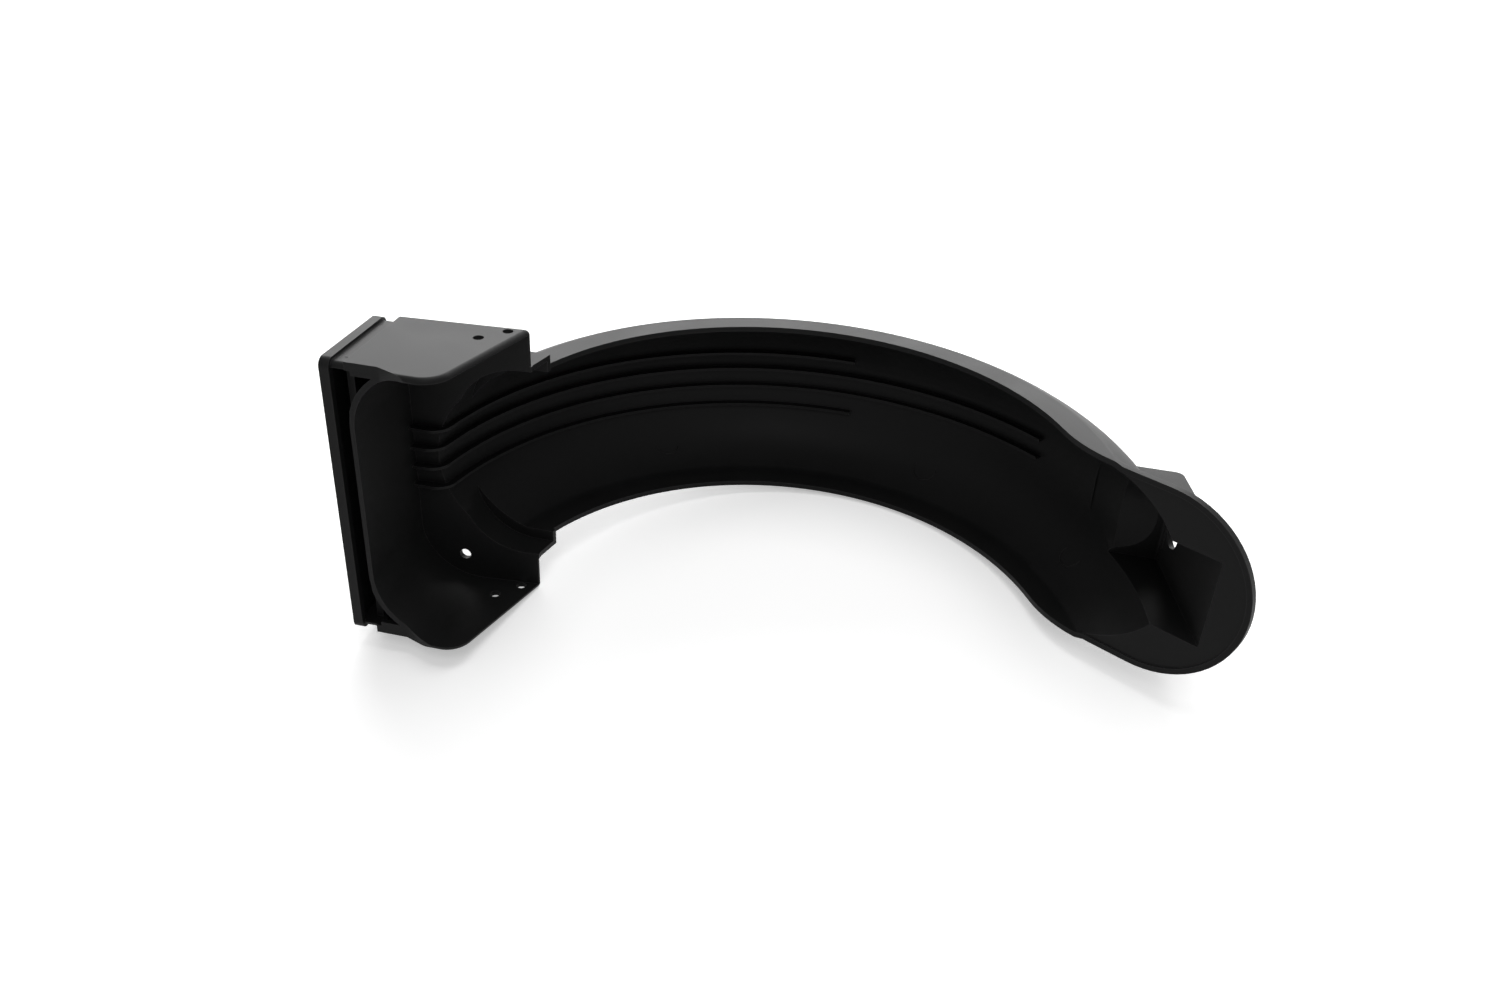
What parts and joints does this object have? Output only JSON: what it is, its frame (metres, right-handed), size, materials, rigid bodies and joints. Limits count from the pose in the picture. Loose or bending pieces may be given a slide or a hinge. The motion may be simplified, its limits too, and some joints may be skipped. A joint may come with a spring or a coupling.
{
  "type": "scooter rear mudguard",
  "caption": "Moulded rear mudguard for a kick scooter: arched guard with inner fins, tail tongue with lamp housing, and a front box that fastens to the deck.",
  "frame": {"origin": "centre of the flange's front face, on the middle plane of the mudguard", "axes": "+X to the rear along the scooter, +Y up on the scooter, +Z along the wheel axis; the part lies on its side"},
  "size_m": [0.3865, 0.2003, 0.137],
  "materials": {
    "black_plastic": "fine-textured black moulded plastic with a satin sheen"
  },
  "bodies": {
    "root": {"mudguard": "black_plastic"}
  },
  "joints": []
}
